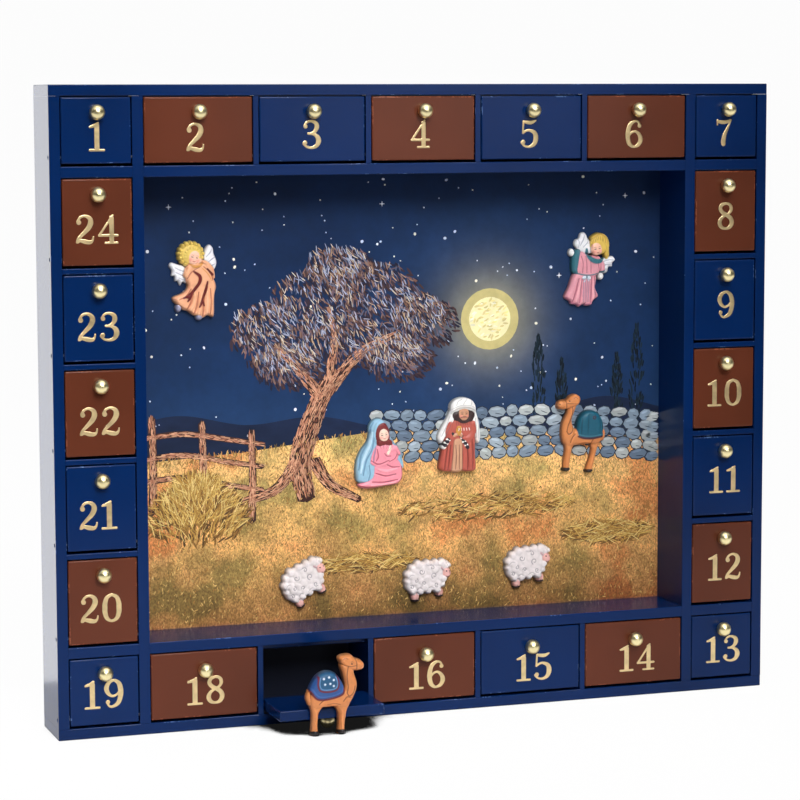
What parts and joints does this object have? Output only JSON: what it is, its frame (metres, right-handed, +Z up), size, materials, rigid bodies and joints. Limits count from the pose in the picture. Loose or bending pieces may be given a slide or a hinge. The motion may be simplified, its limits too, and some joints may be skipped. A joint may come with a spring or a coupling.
{
  "type": "advent calendar",
  "caption": "Wooden shadow-box advent calendar: numbered flap doors with ball knobs frame a deep recess with a picture sheet and pull-off magnetic figures.",
  "frame": {"origin": "middle of the underside of the bottom board", "axes": "+X along the width, the doors face -Y, +Z up"},
  "size_m": [0.445, 0.0818, 0.374],
  "materials": {
    "navy_paint": "semi-gloss navy paint on board",
    "brown_paint": "semi-gloss red-brown paint on board",
    "brass": "polished brass",
    "print": "matt print on thin steel sheet",
    "panel": "painted hardboard",
    "resin": "hand-painted cast resin with a magnet in the back"
  },
  "bodies": {
    "case": {"bottom_board": "navy_paint", "top_board": "navy_paint", "side_board_left": "navy_paint", "side_board_right": "navy_paint", "stile_left": "navy_paint", "stile_right": "navy_paint", "lower_shelf": "navy_paint", "upper_shelf": "navy_paint", "divider_2_3": "navy_paint", "divider_3_4": "navy_paint", "divider_4_5": "navy_paint", "divider_5_6": "navy_paint", "divider_18_17": "navy_paint", "divider_17_16": "navy_paint", "divider_16_15": "navy_paint", "divider_15_14": "navy_paint", "divider_24_23": "navy_paint", "divider_23_22": "navy_paint", "divider_22_21": "navy_paint", "divider_21_20": "navy_paint", "divider_8_9": "navy_paint", "divider_9_10": "navy_paint", "divider_10_11": "navy_paint", "divider_11_12": "navy_paint", "back_panel": "panel", "picture_sheet": "print"},
    "door_01": {"door_01": "navy_paint"},
    "door_02": {"door_02": "brown_paint"},
    "door_03": {"door_03": "navy_paint"},
    "door_04": {"door_04": "brown_paint"},
    "door_05": {"door_05": "navy_paint"},
    "door_06": {"door_06": "brown_paint"},
    "door_07": {"door_07": "navy_paint"},
    "door_08": {"door_08": "brown_paint"},
    "door_09": {"door_09": "navy_paint"},
    "door_10": {"door_10": "brown_paint"},
    "door_11": {"door_11": "navy_paint"},
    "door_12": {"door_12": "brown_paint"},
    "door_13": {"door_13": "navy_paint"},
    "door_14": {"door_14": "brown_paint"},
    "door_15": {"door_15": "navy_paint"},
    "door_16": {"door_16": "brown_paint"},
    "door_17": {"door_17": "navy_paint"},
    "door_18": {"door_18": "brown_paint"},
    "door_19": {"door_19": "navy_paint"},
    "door_20": {"door_20": "brown_paint"},
    "door_21": {"door_21": "navy_paint"},
    "door_22": {"door_22": "brown_paint"},
    "door_23": {"door_23": "navy_paint"},
    "door_24": {"door_24": "brown_paint"},
    "angel_with_ribbon": {"angel_with_ribbon": "resin"},
    "angel_with_collar": {"angel_with_collar": "resin"},
    "kneeling_woman": {"kneeling_woman": "resin"},
    "standing_man": {"standing_man": "resin"},
    "camel_on_picture": {"camel_on_picture": "resin"},
    "sheep_1": {"sheep_1": "resin"},
    "sheep_2": {"sheep_2": "resin"},
    "sheep_3": {"sheep_3": "resin"},
    "standing_camel": {"standing_camel": "resin"}
  },
  "joints": [
    {"name": "door_01_hinge", "type": "hinge", "parent": "case", "child": "door_01", "pos_m": [-0.19545, -0.01755, 0.3333], "axis": [1, 0, 0], "range_deg": [0, 110]},
    {"name": "door_02_hinge", "type": "hinge", "parent": "case", "child": "door_02", "pos_m": [-0.136, -0.01755, 0.3333], "axis": [1, 0, 0], "range_deg": [0, 110]},
    {"name": "door_03_hinge", "type": "hinge", "parent": "case", "child": "door_03", "pos_m": [-0.068, -0.01755, 0.3333], "axis": [1, 0, 0], "range_deg": [0, 110]},
    {"name": "door_04_hinge", "type": "hinge", "parent": "case", "child": "door_04", "pos_m": [0, -0.01755, 0.3333], "axis": [1, 0, 0], "range_deg": [0, 110]},
    {"name": "door_05_hinge", "type": "hinge", "parent": "case", "child": "door_05", "pos_m": [0.068, -0.01755, 0.3333], "axis": [1, 0, 0], "range_deg": [0, 110]},
    {"name": "door_06_hinge", "type": "hinge", "parent": "case", "child": "door_06", "pos_m": [0.136, -0.01755, 0.3333], "axis": [1, 0, 0], "range_deg": [0, 110]},
    {"name": "door_07_hinge", "type": "hinge", "parent": "case", "child": "door_07", "pos_m": [0.19545, -0.01755, 0.3333], "axis": [1, 0, 0], "range_deg": [0, 110]},
    {"name": "door_08_hinge", "type": "hinge", "parent": "case", "child": "door_08", "pos_m": [0.19545, -0.01755, 0.27586], "axis": [1, 0, 0], "range_deg": [0, 110]},
    {"name": "door_09_hinge", "type": "hinge", "parent": "case", "child": "door_09", "pos_m": [0.19545, -0.01755, 0.22157], "axis": [1, 0, 0], "range_deg": [0, 110]},
    {"name": "door_10_hinge", "type": "hinge", "parent": "case", "child": "door_10", "pos_m": [0.19545, -0.01755, 0.16728], "axis": [1, 0, 0], "range_deg": [0, 110]},
    {"name": "door_11_hinge", "type": "hinge", "parent": "case", "child": "door_11", "pos_m": [0.19545, -0.01755, 0.11299], "axis": [1, 0, 0], "range_deg": [0, 110]},
    {"name": "door_12_hinge", "type": "hinge", "parent": "case", "child": "door_12", "pos_m": [0.19545, -0.01755, 0.0587], "axis": [1, 0, 0], "range_deg": [0, 110]},
    {"name": "door_13_hinge", "type": "hinge", "parent": "case", "child": "door_13", "pos_m": [0.19545, -0.01755, 0.0115], "axis": [1, 0, 0], "range_deg": [0, 90]},
    {"name": "door_14_hinge", "type": "hinge", "parent": "case", "child": "door_14", "pos_m": [0.136, -0.01755, 0.0115], "axis": [1, 0, 0], "range_deg": [0, 90]},
    {"name": "door_15_hinge", "type": "hinge", "parent": "case", "child": "door_15", "pos_m": [0.068, -0.01755, 0.0115], "axis": [1, 0, 0], "range_deg": [0, 90]},
    {"name": "door_16_hinge", "type": "hinge", "parent": "case", "child": "door_16", "pos_m": [0, -0.01755, 0.0115], "axis": [1, 0, 0], "range_deg": [0, 90]},
    {"name": "door_17_hinge", "type": "hinge", "parent": "case", "child": "door_17", "pos_m": [-0.068, -0.01755, 0.0115], "axis": [1, 0, 0], "range_deg": [-90, 0]},
    {"name": "door_18_hinge", "type": "hinge", "parent": "case", "child": "door_18", "pos_m": [-0.136, -0.01755, 0.0115], "axis": [1, 0, 0], "range_deg": [0, 90]},
    {"name": "door_19_hinge", "type": "hinge", "parent": "case", "child": "door_19", "pos_m": [-0.19545, -0.01755, 0.0115], "axis": [1, 0, 0], "range_deg": [0, 90]},
    {"name": "door_20_hinge", "type": "hinge", "parent": "case", "child": "door_20", "pos_m": [-0.19545, -0.01755, 0.0587], "axis": [1, 0, 0], "range_deg": [0, 110]},
    {"name": "door_21_hinge", "type": "hinge", "parent": "case", "child": "door_21", "pos_m": [-0.19545, -0.01755, 0.11299], "axis": [1, 0, 0], "range_deg": [0, 110]},
    {"name": "door_22_hinge", "type": "hinge", "parent": "case", "child": "door_22", "pos_m": [-0.19545, -0.01755, 0.16728], "axis": [1, 0, 0], "range_deg": [0, 110]},
    {"name": "door_23_hinge", "type": "hinge", "parent": "case", "child": "door_23", "pos_m": [-0.19545, -0.01755, 0.22157], "axis": [1, 0, 0], "range_deg": [0, 110]},
    {"name": "door_24_hinge", "type": "hinge", "parent": "case", "child": "door_24", "pos_m": [-0.19545, -0.01755, 0.27586], "axis": [1, 0, 0], "range_deg": [0, 110]},
    {"name": "angel_with_ribbon_pull", "type": "slide", "parent": "case", "child": "angel_with_ribbon", "axis": [0, -1, 0], "range_m": [0, 0.06]},
    {"name": "angel_with_collar_pull", "type": "slide", "parent": "case", "child": "angel_with_collar", "axis": [0, -1, 0], "range_m": [0, 0.06]},
    {"name": "kneeling_woman_pull", "type": "slide", "parent": "case", "child": "kneeling_woman", "axis": [0, -1, 0], "range_m": [0, 0.06]},
    {"name": "standing_man_pull", "type": "slide", "parent": "case", "child": "standing_man", "axis": [0, -1, 0], "range_m": [0, 0.06]},
    {"name": "camel_on_picture_pull", "type": "slide", "parent": "case", "child": "camel_on_picture", "axis": [0, -1, 0], "range_m": [0, 0.06]},
    {"name": "sheep_1_pull", "type": "slide", "parent": "case", "child": "sheep_1", "axis": [0, -1, 0], "range_m": [0, 0.06]},
    {"name": "sheep_2_pull", "type": "slide", "parent": "case", "child": "sheep_2", "axis": [0, -1, 0], "range_m": [0, 0.06]},
    {"name": "sheep_3_pull", "type": "slide", "parent": "case", "child": "sheep_3", "axis": [0, -1, 0], "range_m": [0, 0.06]},
    {"name": "standing_camel_pull", "type": "slide", "parent": "case", "child": "standing_camel", "axis": [0, -1, 0], "range_m": [0, 0.06]}
  ]
}
